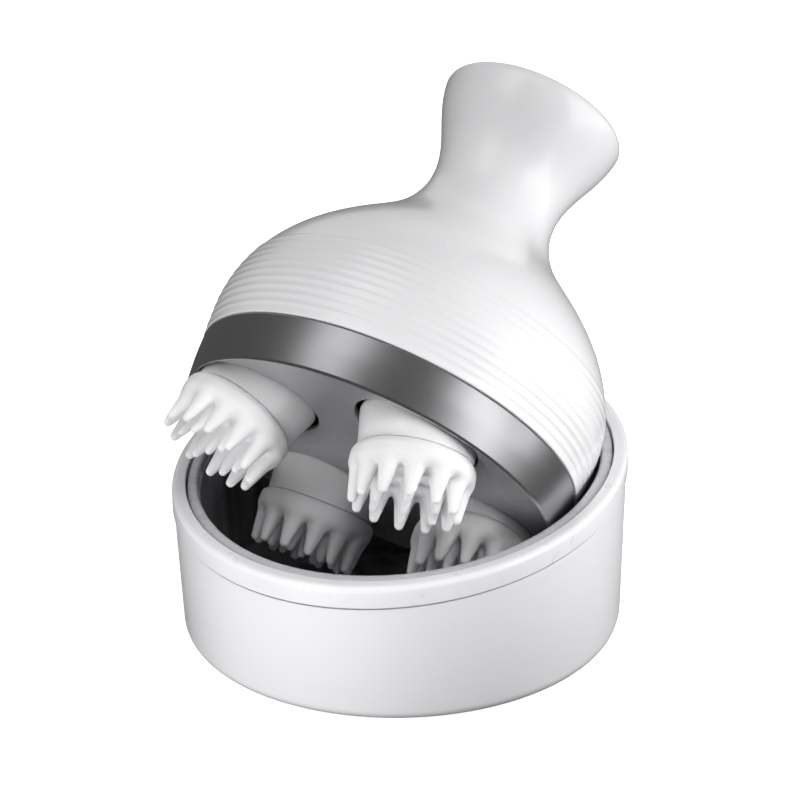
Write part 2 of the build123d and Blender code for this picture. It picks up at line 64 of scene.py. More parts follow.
def joint_place(name):
    """Millimetre position of a joint."""
    return Vector(JOINTS[name]["pos_m"]) / MM


def frame_of(x, y, z, origin):
    """Matrix from a frame with these axes and this origin to the row's frame."""
    matrix = Matrix((x, y, z)).transposed().to_4x4()
    matrix.translation = Vector(origin)
    return matrix


DOCK = Matrix.Identity(4)
AXIS = joint_axis("sun_spin")
LEVEL = Vector((AXIS.x, AXIS.y, 0)).normalized()
DOWN = (LEVEL * AXIS.z - Vector((0, 0, math.hypot(AXIS.x, AXIS.y)))).normalized()
BODY = frame_of(DOWN, AXIS.cross(DOWN), AXIS, joint_place("sun_spin") - BAND_TOP * AXIS)


def head_frame(k):
    """Frame of massage head k, with z up its own axis and y along its cross pin."""
    z = joint_axis(f"head_spin_{k}")
    y = AXIS.cross(z).normalized()
    return frame_of(y.cross(z), y, z, joint_place(f"head_spin_{k}"))


HEAD = {k: head_frame(k) for k in HEADS}

# ---- camera, in metres -----------------------------------------------------------------
ELEVATION = math.radians(24.5)
ROLL = math.radians(-1.1)
DISTANCE = 0.848
AIM_HEIGHT = 0.030
AIM_SHIFT = (-0.0001, 0.0308)   # to the right and up in the picture
LENS_MM = 144.0
SENSOR_MM = 36.0


def make_camera():
    """Long-lens camera above the front of the dock."""
    right = Vector((1, 0, 0))
    up = Vector((0, math.sin(ELEVATION), math.cos(ELEVATION)))
    back = right.cross(up)
    x = math.cos(ROLL) * right + math.sin(ROLL) * up
    y = math.cos(ROLL) * up - math.sin(ROLL) * right
    aim = Vector((0, 0, AIM_HEIGHT)) + AIM_SHIFT[0] * x + AIM_SHIFT[1] * y
    data = bpy.data.cameras.new("camera")
    data.lens = LENS_MM
    data.sensor_width = SENSOR_MM
    camera = bpy.data.objects.new("camera", data)
    camera.matrix_world = frame_of(x, y, back, aim + DISTANCE * back)
    bpy.context.scene.collection.objects.link(camera)
    bpy.context.scene.camera = camera


make_camera()


# ---- materials -------------------------------------------------------------------------
class Look:
    """A Principled material with helpers for its noise, bump and colour nodes. A local one
    follows the piece's own frame, and any other follows the object as it stands."""

    def __init__(self, name, colour, local=False, **values):
        self.name = name
        self.material = bpy.data.materials.new(name)
        self.material.use_nodes = True
        self.nodes = self.material.node_tree.nodes
        self.links = self.material.node_tree.links
        self.shader = self.nodes["Principled BSDF"]
        self.colour = colour
        self.set("Base Color", (*colour, 1))
        for key, value in values.items():
            self.set(key.replace("_", " ").title().replace("Ior", "IOR"), value)
        if local:
            node = self.nodes.new("ShaderNodeAttribute")
            node.attribute_name = "local"
            self.coords = node.outputs["Vector"]
            self.per_mm = 1.0
        else:
            self.coords = self.nodes.new("ShaderNodeTexCoord").outputs["Object"]
            self.per_mm = 1 / MM

    def set(self, socket, value):
        """Set one of the shader's own values."""
        self.shader.inputs[socket].default_value = value

    def noise(self, scale, stretch=(1, 1, 1), detail=3.0, roughness=0.5):
        """Noise over the piece, from 0 to 1, with this many cycles per millimetre."""
        mapping = self.nodes.new("ShaderNodeMapping")
        mapping.inputs["Scale"].default_value = [scale * self.per_mm * s for s in stretch]
        self.links.new(self.coords, mapping.inputs["Vector"])
        node = self.nodes.new("ShaderNodeTexNoise")
        node.inputs["Scale"].default_value = 1.0
        node.inputs["Detail"].default_value = detail
        node.inputs["Roughness"].default_value = roughness
        self.links.new(mapping.outputs["Vector"], node.inputs["Vector"])
        return node.outputs["Fac"]

    def spread(self, value, low, high, inside):
        """Map the part of a noise value inside two limits to the range low to high."""
        node = self.nodes.new("ShaderNodeMapRange")
        node.inputs["From Min"].default_value = inside[0]
        node.inputs["From Max"].default_value = inside[1]
        node.inputs["To Min"].default_value = low
        node.inputs["To Max"].default_value = high
        self.links.new(value, node.inputs["Value"])
        return node.outputs["Result"]

    def tint(self, value, low, high, inside=(0.3, 0.7)):
        """Colour that follows a noise value between two shades of the base colour."""
        node = self.nodes.new("ShaderNodeMix")
        node.data_type = "RGBA"
        node.inputs["A"].default_value = (*[c * low for c in self.colour], 1)
        node.inputs["B"].default_value = (*[min(1.0, c * high) for c in self.colour], 1)
        self.links.new(self.spread(value, 0, 1, inside), node.inputs["Factor"])
        self.links.new(node.outputs["Result"], self.shader.inputs["Base Color"])
        return self

    def rough(self, value, low, high):
        """Roughness that varies between two values."""
        self.links.new(self.spread(value, low, high, (0, 1)), self.shader.inputs["Roughness"])
        return self

    def bump(self, value, distance, strength=1.0):
        """Bump of this many millimetres, on top of any bump already there."""
        node = self.nodes.new("ShaderNodeBump")
        node.inputs["Distance"].default_value = distance * MM
        node.inputs["Strength"].default_value = strength
        self.links.new(value, node.inputs["Height"])
        if self.shader.inputs["Normal"].is_linked:
            before = self.shader.inputs["Normal"].links[0].from_socket
            self.links.new(before, node.inputs["Normal"])
        self.links.new(node.outputs["Normal"], self.shader.inputs["Normal"])
        return self


def moulded(name, colour, roughness, coat=0.0, local=True):
    """Moulded plastic: cloudy colour, faint flow marks and a very fine skin texture."""
    look = Look(name, colour, local, roughness=roughness, coat_weight=coat, coat_roughness=0.16)
    look.tint(look.noise(0.05, detail=2), 0.975, 1.012)
    look.rough(look.noise(0.25, detail=4), roughness * 0.7, roughness * 1.3)
    look.bump(look.noise(0.7, detail=2), 0.004, 0.4)
    return look


def brushed(name, colour, roughness, stretch, depth=0.005, local=False):
    """Metal with fine turned or brushed lines along its long way."""
    look = Look(name, colour, local, roughness=roughness, metallic=1.0)
    lines = look.noise(1.0, stretch, detail=5, roughness=0.65)
    look.tint(lines, 0.93, 1.06)
    look.rough(lines, roughness * 0.6, roughness * 1.4)
    look.bump(lines, depth, 0.6)
    return look


def silicone_look():
    """Soft, slightly see-through rubber with a matt skin."""
    look = Look("silicone_white", (0.85, 0.85, 0.86), True, roughness=0.46,
                subsurface_weight=0.3, subsurface_scale=0.8 * MM)
    look.set("Subsurface Radius", (1, 1, 1))
    look.tint(look.noise(0.12, detail=2), 0.97, 1.02)
    look.rough(look.noise(0.9, detail=4), 0.35, 0.6)
    return look.bump(look.noise(2.6, detail=3), 0.02, 0.4)


def plate_look():
    """Grey plastic with fine metal flakes in it."""
    look = Look("plate_grey", (0.46, 0.46, 0.48), True, roughness=0.36, metallic=0.55)
    flakes = look.noise(5.0, detail=2)
    look.tint(flakes, 0.93, 1.07)
    look.rough(look.noise(0.4, detail=3), 0.28, 0.48)
    return look.bump(flakes, 0.006, 0.5)


def bowl_look():
    """Dark glossy bowl with soft upright streaks."""
    look = Look("bowl_dark", (0.46, 0.46, 0.48), True, roughness=0.38, metallic=0.7,
                coat_weight=0.3, coat_roughness=0.2)
    streaks = look.noise(0.16, (1, 1, 0.06), detail=4)
    look.tint(streaks, 0.7, 1.35)
    look.rough(streaks, 0.25, 0.5)
    return look.bump(look.noise(0.5, (1, 1, 0.05), detail=3), 0.03, 0.35)


def rubber_look():
    """Black rubber with a coarse grain."""
    look = Look("pad_rubber", (0.045, 0.045, 0.05), roughness=0.75)
    look.tint(look.noise(0.04), 0.8, 1.25)
    return look.bump(look.noise(0.9, detail=4), 0.08, 0.8)


def board_look():
    """Circuit board: green lacquer over a pattern of tracks."""
    look = Look("board_green", (0.02, 0.14, 0.06), roughness=0.35, coat_weight=0.3)
    look.tint(look.noise(0.26, detail=1), 0.75, 1.3, (0.46, 0.54))
    return look.bump(look.noise(0.5, detail=1), 0.03, 0.5)


def lens_look():
    """Clear plastic with a slightly uneven polish."""
    look = Look("lens_clear", (0.90, 0.95, 1.0), roughness=0.08, transmission_weight=0.7, ior=1.49)
    return look.rough(look.noise(0.7), 0.03, 0.14)


EVEN = (1.2, 1.2, 1.2)          # metal with no brushed direction


def make_looks():
    """All the materials, by the name of their slot in the record. The dock's white is a
    second shade of the slot white_shell."""
    looks = [
        moulded("white_shell", (0.84, 0.84, 0.855), 0.24, 0.6),
        moulded("dock_white", (0.80, 0.80, 0.82), 0.30, 0.35),
        moulded("collar_white", (0.83, 0.83, 0.84), 0.34, 0.15),
        moulded("base_grey", (0.72, 0.72, 0.73), 0.5, local=False),
        moulded("trim_grey", (0.52, 0.52, 0.54), 0.28, 0.3),
        moulded("gear_nylon", (0.78, 0.76, 0.69), 0.42, local=False),
        moulded("switch_black", (0.02, 0.02, 0.022), 0.45, local=False),
        moulded("cell_wrap", (0.06, 0.15, 0.30), 0.3, 0.3, local=False),
        brushed("silver_satin", (0.66, 0.66, 0.68), 0.36, (0.5, 0.5, 16.0), 0.002, local=True),
        brushed("steel", (0.56, 0.56, 0.57), 0.3, EVEN),
        brushed("brass", (0.72, 0.52, 0.25), 0.3, EVEN),
        brushed("copper", (0.66, 0.30, 0.16), 0.32, (0.05, 0.05, 2.4), 0.12),
        silicone_look(), plate_look(), bowl_look(), rubber_look(), board_look(), lens_look(),
    ]
    return {look.name: look for look in looks}


LOOKS = make_looks()


# ---- mesh building ---------------------------------------------------------------------
MERGE = 1e-5                    # points closer than this are one
CORNER_SHARE = 0.48             # most of an edge that one rounded corner may use


def piece(name, body, look, verts, faces, matrix=DOCK, nodes=(), sharp=38.0):
    """Mesh object from local millimetre points, riding a body and standing for CAD nodes.
    Edges sharper than this many degrees stay crisp."""
    mesh = bpy.data.meshes.new(name)
    mesh.from_pydata([tuple(v) for v in verts], [], [tuple(f) for f in faces])
    bm = bmesh.new()
    bm.from_mesh(mesh)
    bmesh.ops.remove_doubles(bm, verts=bm.verts, dist=MERGE)
    bmesh.ops.recalc_face_normals(bm, faces=bm.faces)
    bm.to_mesh(mesh)
    bm.free()
    local = np.array([v.co for v in mesh.vertices], np.float32)
    attribute = mesh.attributes.new("local", "FLOAT_VECTOR", "POINT")
    attribute.data.foreach_set("vector", local.ravel())
    mesh.polygons.foreach_set("use_smooth", [True] * len(mesh.polygons))
    mesh.set_sharp_from_angle(angle=math.radians(sharp))
    mesh.transform(Matrix.Scale(MM, 4) @ matrix)
    mesh.materials.append(LOOKS[look].material)
    obj = bpy.data.objects.new(name, mesh)
    bpy.context.scene.collection.objects.link(obj)
    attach(obj, body)
    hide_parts(*nodes)
    return obj


def rounded(corners, steps=4):
    """Closed outline from corners (r, z, radius) or (r, z, radius, slant), each one rounded."""
    corners = [np.array(tuple(c) + (0.0,) * (4 - len(c))) for c in corners]
    outline = []
    for k, corner in enumerate(corners):
        here = corner[[0, 1, 3]]
        before = corners[k - 1][[0, 1, 3]]
        after = corners[(k + 1) % len(corners)][[0, 1, 3]]
        if corner[2] <= 0:
            outline.append(here)
            continue
        a = before - here
        b = after - here
        la = np.hypot(*a[:2])
        lb = np.hypot(*b[:2])
        cosine = np.clip(np.dot(a[:2], b[:2]) / (la * lb), -1, 1)
        reach = min(corner[2] / math.tan(math.acos(cosine) / 2), CORNER_SHARE * min(la, lb))
        start = here + a / la * reach
        end = here + b / lb * reach
        for s in np.linspace(0, 1, steps + 1):
            outline.append((1 - s) ** 2 * start + 2 * s * (1 - s) * here + s * s * end)
    return outline


SLANT = math.tan(math.radians(7.6))   # how far the dock's rim plane leans
SLANT_AZ = math.radians(234.5)        # and the side where it is lowest


def lathe(outline, segments):
    """Points and faces of a closed outline of (r, z) or (r, z, slant) points turned about z.
    A slant of 1 follows the dock's slanted rim plane, and 0 stays level."""
    verts = []
    faces = []
    rings = []
    for point in outline:
        r, z = point[0], point[1]
        slant = point[2] if len(point) > 2 else 0.0
        if r < MERGE:
            rings.append([len(verts)] * segments)
            verts.append((0.0, 0.0, z))
            continue
        rings.append(list(range(len(verts), len(verts) + segments)))
        for k in range(segments):
            turn = TURN * k / segments
            drop = slant * SLANT * r * math.cos(turn - SLANT_AZ)
            verts.append((r * math.cos(turn), r * math.sin(turn), z - drop))
    for j, ring in enumerate(rings):
        other = rings[(j + 1) % len(rings)]
        for k in range(segments):
            n = (k + 1) % segments
            face = []
            for v in (ring[k], ring[n], other[n], other[k]):
                if v not in face:
                    face.append(v)
            if len(face) > 2:
                faces.append(face)
    return verts, faces


def turned(name, body, look, corners, matrix=DOCK, nodes=(), segments=160, steps=4):
    """Piece turned from rounded corners."""
    verts, faces = lathe(rounded(corners, steps), segments)
    return piece(name, body, look, verts, faces, matrix, nodes)


def joined(parts):
    """Several lists of points and faces as one."""
    verts = []
    faces = []
    for v, f in parts:
        faces += [[i + len(verts) for i in face] for face in f]
        verts += list(v)
    return verts, faces


def shifted(part, x, y):
    """A part moved sideways."""
    verts, faces = part
    return [(v[0] + x, v[1] + y, v[2]) for v in verts], faces


def cut(obj, corners, depth, place):
    """Cut a prism with these corners and this depth out of a piece, standing on place."""
    mesh = bpy.data.meshes.new("cutter")
    n = len(corners)
    verts = [(x, y, 0) for x, y in corners] + [(x, y, depth) for x, y in corners]
    faces = [list(range(n))[::-1], list(range(n, 2 * n))]
    faces += [[k, (k + 1) % n, (k + 1) % n + n, k + n] for k in range(n)]
    mesh.from_pydata(verts, [], faces)
    mesh.transform(Matrix.Scale(MM, 4) @ place)
    cutter = bpy.data.objects.new("cutter", mesh)
    bpy.context.scene.collection.objects.link(cutter)
    modifier = obj.modifiers.new("cut", "BOOLEAN")
    modifier.object = cutter
    modifier.operation = "DIFFERENCE"
    modifier.solver = "EXACT"
    graph = bpy.context.evaluated_depsgraph_get()
    result = bpy.data.meshes.new_from_object(obj.evaluated_get(graph))
    obj.modifiers.clear()
    obj.data = result
    bpy.data.objects.remove(cutter)


def slot_outline(width, height, steps=8):
    """Corners of a slot with round ends."""
    r = height / 2
    points = []
    for side in (1, -1):
        for s in range(steps + 1):
            turn = math.pi * (s / steps - side / 2)
            points.append((side * (width / 2 - r) + r * math.cos(turn), r * math.sin(turn)))
    return points


def circle(radius, steps):
    """Corners of a round outline."""
    return [(radius * math.cos(TURN * k / steps), radius * math.sin(TURN * k / steps))
            for k in range(steps)]


# ---- dock ------------------------------------------------------------------------------
DOCK_R = 60.0
SHELL_R = 59.58                 # of the outer shell at the seam, and at its foot
SHELL_FOOT_R = 58.2
SHELL_LOW = 1.0
SHELL_FLOOR = 3.0
SHELL_HOLE_R = 50.2             # the base plate closes it
SEAM = 40.8
SEAM_LOW = SEAM - 0.1           # top of the outer shell
SEAM_HIGH = SEAM + 0.5          # foot of the rim ring
RIM_TOP = 47.0
RIM_IN_R = 56.3
RIM_TONGUE_R = 57.0             # the tongue reaches down inside the outer shell
RIM_TONGUE = 4.0
TRIM_R = 55.9
TRIM_IN_R = 53.0
TRIM_TOP = 46.6
TRIM_LOW = 43.6
BOWL_LOW = 4.4
BOWL_FLOOR = 6.0
BOWL_R = (53.0, 54.2)           # outside, at its foot and under the trim ring
BOWL_IN_R = (51.4, 52.6)        # inside, the same two places
SOCKET_Z = 12.0
SOCKET_SLOT = (9.4, 3.6)
SOCKET_DEPTH = 12.0
DOCK_SEGMENTS = 192


def dock_ring(name, look, corners, node, steps=8):
    """Turned piece of the dock."""
    return turned(name, "dock", look, corners, nodes=[node], segments=DOCK_SEGMENTS, steps=steps)


def make_dock():
    """Outer shell with its socket slot, rim ring, trim ring and bowl."""
    shell = dock_ring("dock_outer_shell", "dock_white", [
        (SHELL_HOLE_R, SHELL_LOW, 0.2), (SHELL_FOOT_R, SHELL_LOW, 4.0),
        (SHELL_R, SEAM_LOW, 0.2, 1), (RIM_TONGUE_R + 0.2, SEAM_LOW, 0.1, 1),
        (RIM_IN_R, SHELL_FLOOR, 1.5), (SHELL_HOLE_R, SHELL_FLOOR, 0.2)], "dock_shell")
    inside_back = (0, DOCK_R - 8.0, SOCKET_Z)
    back = frame_of(Vector((-1, 0, 0)), Vector((0, 0, 1)), Vector((0, 1, 0)), inside_back)
    cut(shell, slot_outline(*SOCKET_SLOT), SOCKET_DEPTH, back)
    dock_ring("dock_rim_ring", "dock_white", [
        (DOCK_R, SEAM_HIGH, 0.2, 1), (DOCK_R, RIM_TOP, 2.6, 1), (RIM_IN_R, RIM_TOP, 0.5, 1),
        (RIM_IN_R, SEAM - RIM_TONGUE, 0.2, 1), (RIM_TONGUE_R, SEAM - RIM_TONGUE, 0.2, 1),
        (RIM_TONGUE_R, SEAM_HIGH, 0.1, 1)], "dock_rim")
    dock_ring("bowl_trim_ring", "trim_grey", [
        (TRIM_R, TRIM_LOW, 0.2, 1), (TRIM_R, TRIM_TOP, 1.2, 1), (TRIM_IN_R, TRIM_TOP, 1.1, 1),
        (TRIM_IN_R, TRIM_LOW, 0.2, 1)], "bowl_trim", steps=6)
    dock_ring("bowl_cup", "bowl_dark", [
        (0, BOWL_LOW, 0), (BOWL_R[0], BOWL_LOW, 1.5), (BOWL_R[1], TRIM_LOW, 0.2, 1),
        (BOWL_IN_R[1], TRIM_LOW, 0.2, 1), (BOWL_IN_R[0], BOWL_FLOOR, 3.2),
        (0, BOWL_FLOOR, 0)], "bowl_liner")


make_dock()

# ---- massager body ---------------------------------------------------------------------
DOME_OUTLINE = [(53.0, 13.0), (53.6, 22.0), (52.8, 31.5), (47.2, 44.5), (33.6, 59.0),
                (22.4, 69.5), (18.1, 79.0), (18.6, 89.0), (25.3, 109.0)]
DOME_STEPS = 420
BODY_SEGMENTS = 224
RIDGES = 10
RIDGE_FIRST = 16.0
RIDGE_PITCH = 2.35
RIDGE_HEIGHT = 0.2
SHELL_T = 2.2
RIM_ROUND = 2.4
CAP_LOW = 108.5
CAP_TOP = 110.9
CAP_R = 22.7
CAP_SEAT = 1.4                  # width of the ledge under the disc
SPIGOT_R = 51.2                 # the band sits on the shell's spigot
SPIGOT_T = 1.6
SPIGOT_LOW = 8.6
BAND_LOW_R = 51.55
BAND_MIDDLE = (52.35, 6.6)      # where its crown bends
BAND_TOP_R = 52.72
BAND_IN_R = 50.7
HEAD_HOLE_R = 16.8
PLATE_LOW = 1.4
PLATE_TOP = 3.4
PLATE_R = 50.6
PLATE_EDGE = 0.35
POST_RING = 44.0
POST = (1.0, 3.0, 10.8)         # bore, radius and top
BOSS = (2.0, 4.5, 9.0)
BUTTON_R = 7.0
BUTTON_GAP = 0.35
BUTTON_STEM_R = 2.0
BUTTON_FLANGE_R = 8.4
LENS_RING = 13.0
LENS_R = 1.2


def smooth_curve(points, start, end, count):
    """Evenly spread points on the clamped cubic spline through these points."""
    points = np.array(points, float)
    steps = np.hypot(*np.diff(points, axis=0).T)
    t = np.concatenate([[0], np.cumsum(steps)])
    n = len(points)
    system = np.zeros((n, n))
    right = np.zeros((n, 2))
    system[0, 0] = system[-1, -1] = 1
    right[0] = np.array(start) / np.hypot(*start)
    right[-1] = np.array(end) / np.hypot(*end)
    for k in range(1, n - 1):
        h0, h1 = t[k] - t[k - 1], t[k + 1] - t[k]
        system[k, k - 1:k + 2] = (h1, 2 * (h0 + h1), h0)
        before, after = points[k] - points[k - 1], points[k + 1] - points[k]
        right[k] = 3 * (h1 * before / h0 + h0 * after / h1)
    slopes = np.linalg.solve(system, right)
    result = []
    for u in np.linspace(0, t[-1], count):
        k = min(np.searchsorted(t, u, side="right") - 1, n - 2)
        h = t[k + 1] - t[k]
        s = (u - t[k]) / h
        blend = 3 * s**2 - 2 * s**3
        result.append((1 - blend) * points[k] + (s**3 - 2 * s**2 + s) * h * slopes[k]
                      + blend * points[k + 1] + (s**3 - s**2) * h * slopes[k + 1])
    return np.array(result)


def normals_of(curve):
    """Unit normals of a curve that runs up the outside, pointing outwards."""
    along = np.gradient(curve, axis=0)
    along /= np.hypot(*along.T)[:, None]
    return np.stack([along[:, 1], -along[:, 0]], axis=1)


def ridge_height(z):
    """Height of the fine ridges at this height up the dome."""
    phase = (z - RIDGE_FIRST) / RIDGE_PITCH
    inside = (phase > -0.5) & (phase < RIDGES - 0.5)
    wave = 0.5 + 0.5 * np.cos(TURN * phase)
    return np.where(inside, RIDGE_HEIGHT * wave ** 1.5, 0.0)


def make_dome():
    """Dome, neck and flared handle in one shell, ridged around its lower half."""
    curve = smooth_curve(DOME_OUTLINE, (0, 1), (0.1, 1), DOME_STEPS)
    normal = normals_of(curve)
    foot_r, foot = DOME_OUTLINE[0]
    top_r, top = DOME_OUTLINE[-1]
    crown = top + RIM_ROUND
    lip = rounded([(foot_r - 2.1, foot, 0), (foot_r, foot, 0.5), (foot_r, foot + 3.0, 0)])[1:-1]
    outside = [p for p in curve + normal * ridge_height(curve[:, 1])[:, None] if p[1] > foot + 0.6]
    rim = [(top_r - RIM_ROUND * (1 - math.cos(turn)), crown - RIM_ROUND * (1 - math.sin(turn)))
           for turn in np.linspace(0.12, 1, 9) * math.pi / 2]
    ledge = [(CAP_R + 0.15, crown - 0.25), (CAP_R + 0.1, crown - 0.6), (CAP_R + 0.1, CAP_LOW),
             (CAP_R - CAP_SEAT, CAP_LOW)]
    inside = [p for p in (curve - SHELL_T * normal)[::-4] if foot + 0.5 < p[1] < CAP_LOW - 2]
    spigot = [(SPIGOT_R - 0.5, foot + 0.4), (SPIGOT_R - SPIGOT_T, foot + 0.4),
              (SPIGOT_R - SPIGOT_T, SPIGOT_LOW), (SPIGOT_R, SPIGOT_LOW), (SPIGOT_R, foot)]
    outline = [p[:2] for p in lip] + outside + rim + ledge + inside + spigot
    verts, faces = lathe(outline, BODY_SEGMENTS)
    piece("dome_and_handle", "massager", "white_shell", verts, faces, BODY, ["dome_shell"], 45)


def make_band():
    """Satin metal band, slightly crowned, with a fine bright lower edge."""
    turned("satin_band", "massager", "silver_satin", [
        (BAND_LOW_R, 0.55, 0.4), (*BAND_MIDDLE, 40.0), (BAND_TOP_R, BAND_TOP - 0.3, 0.15),
        (BAND_TOP_R - 0.27, BAND_TOP, 0.15), (SPIGOT_R + 0.05, BAND_TOP, 0),
        (SPIGOT_R + 0.05, SPIGOT_LOW - 0.2, 0), (BAND_IN_R, SPIGOT_LOW - 0.2, 0),
        (BAND_IN_R, 0.0, 0.1), (BAND_LOW_R - 0.5, 0.0, 0.15)],
        BODY, ["silver_band"], BODY_SEGMENTS, 6)


def filled_plate(name, outer, holes, low, high, edge):
    """Flat plate with round holes and rounded edges, as points and faces."""
    data = bpy.data.curves.new(name, "CURVE")
    data.dimensions = "2D"
    data.fill_mode = "BOTH"
    data.extrude = (high - low) / 2 - edge
    data.bevel_depth = edge
    data.bevel_resolution = 2
    loops = [((0, 0), outer - edge, 1, 160)] + [(c, r + edge, -1, 96) for c, r in holes]
    for centre, radius, way, count in loops:
        spline = data.splines.new("POLY")
        spline.points.add(count - 1)
        spline.use_cyclic_u = True
        for k, point in enumerate(spline.points):
            turn = way * TURN * k / count
            point.co = (centre[0] + radius * math.cos(turn),
                        centre[1] + radius * math.sin(turn), 0, 1)
    obj = bpy.data.objects.new(name, data)
    mesh = bpy.data.meshes.new_from_object(obj)
    verts = [(v.co.x, v.co.y, v.co.z + (low + high) / 2) for v in mesh.vertices]
    faces = [list(p.vertices) for p in mesh.polygons]
    bpy.data.objects.remove(obj)
    return verts, faces


def head_centre(k):
    """Local x and y of the opening for head k."""
    place = BODY.inverted() @ HEAD[k].translation
    return (place.x, place.y)


def post(bore, radius, top, segments):
    """Hollow post that stands in the plate."""
    foot = PLATE_TOP - 0.1
    return lathe(rounded([(bore, foot, 0), (radius, foot, 0), (radius, top, 0.3),
                          (bore, top, 0)]), segments)


def make_base_plate():
    """Grey underside with four round openings, its posts and centre boss."""
    holes = [(head_centre(k), HEAD_HOLE_R) for k in HEADS]
    parts = [filled_plate("plate", PLATE_R, holes, PLATE_LOW, PLATE_TOP, PLATE_EDGE),
             post(*BOSS, 32)]
    for k in HEADS:
        between = Vector(head_centre(k)) + Vector(head_centre(k % 4 + 1))
        place = between.normalized() * POST_RING
        parts.append(shifted(post(*POST, 24), place.x, place.y))
    verts, faces = joined(parts)
    piece("underside_plate", "massager", "plate_grey", verts, faces, BODY, ["base_plate"])


def make_handle_top():
    """Disc in the top of the handle with a hole for its lens, and a dished push button."""
    bore = BUTTON_R + BUTTON_GAP
    disc = turned("handle_disc", "massager", "white_shell", [
        (bore, CAP_LOW, 0.1), (CAP_R, CAP_LOW, 0.1), (CAP_R, CAP_TOP, 0.6),
        (9.4, CAP_TOP - 0.15, 1.5), (8.6, CAP_TOP - 0.7, 0.6), (bore, CAP_TOP - 0.75, 0.25)],
        BODY, ["handle_cap"], 128, 5)
    cut(disc, circle(LENS_R, 24), 5, BODY @ Matrix.Translation((LENS_RING, 0, CAP_LOW - 1)))
    turned("push_button", "button", "white_shell", [
        (0, CAP_LOW - 1.5, 0), (BUTTON_STEM_R, CAP_LOW - 1.5, 0.1),
        (BUTTON_STEM_R, CAP_LOW - 1.2, 0.1),
        (BUTTON_FLANGE_R, CAP_LOW - 1.2, 0.2), (BUTTON_FLANGE_R, CAP_LOW - 0.4, 0.2),
        (BUTTON_R, CAP_LOW - 0.4, 0.1), (BUTTON_R, CAP_TOP + 0.8, 0.8),
        (5.2, CAP_TOP + 0.65, 1.5), (2.6, CAP_TOP + 0.1, 2.0), (0, CAP_TOP - 0.05, 0)],
        BODY, ["power_button"], 96, 5)


make_dome()
make_band()
make_base_plate()
make_handle_top()

# ---- massage heads ---------------------------------------------------------------------
COLLAR_TOP = 1.0
COLLAR_LOW = -9.8
COLLAR_R = 15.9
COLLAR_LOW_R = 14.6
COLLAR_IN_R = (14.5, 13.3)      # inside, at its floor and at its lower edge
COLLAR_FLOOR = -1.0
STEM_R = 7.5                    # bearing stem above the collar, with a groove for its ring
STEM_BORE = 4.6
STEM_BORE_LOW = -5.0
GROOVE_R = 7.0
GROOVE = (4.25, 5.05)
STEM_TOP = 5.4
STEM_LOW = -6.6
PIN_SLOT = (2.5, 12.4)
PIN_SLOT_LOW = -2.8
PIN_SLOT_DEPTH = 10.0
BRUSH_TOP = -9.9
BRUSH_TIP = -24.6
BRUSH_R = 16.1
BRUSH_CUP = (-12.9, 3.1, 2.4)   # middle, half height and rounding
RECESS_R = 13.3
RECESS = (-9.4, 1.35, 0.1)
BRUSH_FLARE = 0.05              # the cup narrows by this much per millimetre down
OUTER_FINGERS = 12
OUTER_ROOT = (12.7, -14.9, 3.0)                     # ring radius, height and own radius
OUTER_TIP = (13.2, BRUSH_TIP + 1.25, 1.25)
OUTER_FLAT = 1.1
INNER_FINGERS = 6
INNER_ROOT = (8.0, -15.0, 2.5)
INNER_TIP = (8.6, BRUSH_TIP + 1.1, 1.1)
CENTRE_ROOT = (0.0, *INNER_ROOT[1:])
CENTRE_TIP = (0.0, *INNER_TIP[1:])
OUTER_WEB = 1.6                 # fillets between the cup and its fingers
INNER_WEB = 1.0
CELL = 0.42                     # grid step of the brush's distance field
PHASES = {1: 3.0, 2: 15.0, 3: 27.0, 4: 24.0}        # degrees that each brush is turned


def smooth_least(a, b, k):
    """Smooth minimum of two distances, with a fillet of about k."""
    h = np.clip(0.5 + 0.5 * (b - a) / k, 0, 1)
    return b + (a - b) * h - k * h * (1 - h)


def cup_distance(r, z, radius, sizes):
    """Distance to a disc with rounded edges, given its middle, half height and rounding."""
    middle, half, rounding = sizes
    across = r - radius + rounding
    up = np.abs(z - middle) - half + rounding
    outside = np.hypot(np.maximum(across, 0), np.maximum(up, 0))
    return outside + np.minimum(np.maximum(across, up), 0) - rounding


def finger_distance(x, y, z, turn, root, tip, flat=1.0):
    """Distance to a tapered finger at this turn; flat thins its root in and out."""
    out = x * math.cos(turn) + y * math.sin(turn)
    side = y * math.cos(turn) - x * math.sin(turn)
    dr, dz = tip[0] - root[0], tip[1] - root[1]
    t = np.clip(((out - root[0]) * dr + (z - root[1]) * dz) / (dr * dr + dz * dz), 0, 1)
    radius = root[2] + (tip[2] - root[2]) * t
    squeeze = 1 + (flat - 1) * (1 - t)
    return np.sqrt(((out - root[0] - t * dr) * squeeze) ** 2 + side ** 2
                   + (z - root[1] - t * dz) ** 2) - radius


def brush_field(x, y, z, phase):
    """Signed distance to the silicone brush: a cup with fingers, hollow for its carrier."""
    r = np.hypot(x, y)
    flare = BRUSH_FLARE * (BRUSH_TOP - z)
    body = cup_distance(r + flare, z, BRUSH_R, BRUSH_CUP)
    for k in range(OUTER_FINGERS):
        turn = phase + TURN * k / OUTER_FINGERS
        one = finger_distance(x, y, z, turn, OUTER_ROOT, OUTER_TIP, OUTER_FLAT)
        body = smooth_least(body, one, OUTER_WEB)
    for k in range(INNER_FINGERS):
        turn = phase + TURN * (k + 0.5) / INNER_FINGERS
        one = finger_distance(x, y, z, turn, INNER_ROOT, INNER_TIP)
        body = smooth_least(body, one, INNER_WEB)
    centre = finger_distance(x, y, z, 0.0, CENTRE_ROOT, CENTRE_TIP)
    body = smooth_least(body, centre, INNER_WEB)
    return np.maximum(body, -cup_distance(r, z, RECESS_R, RECESS))


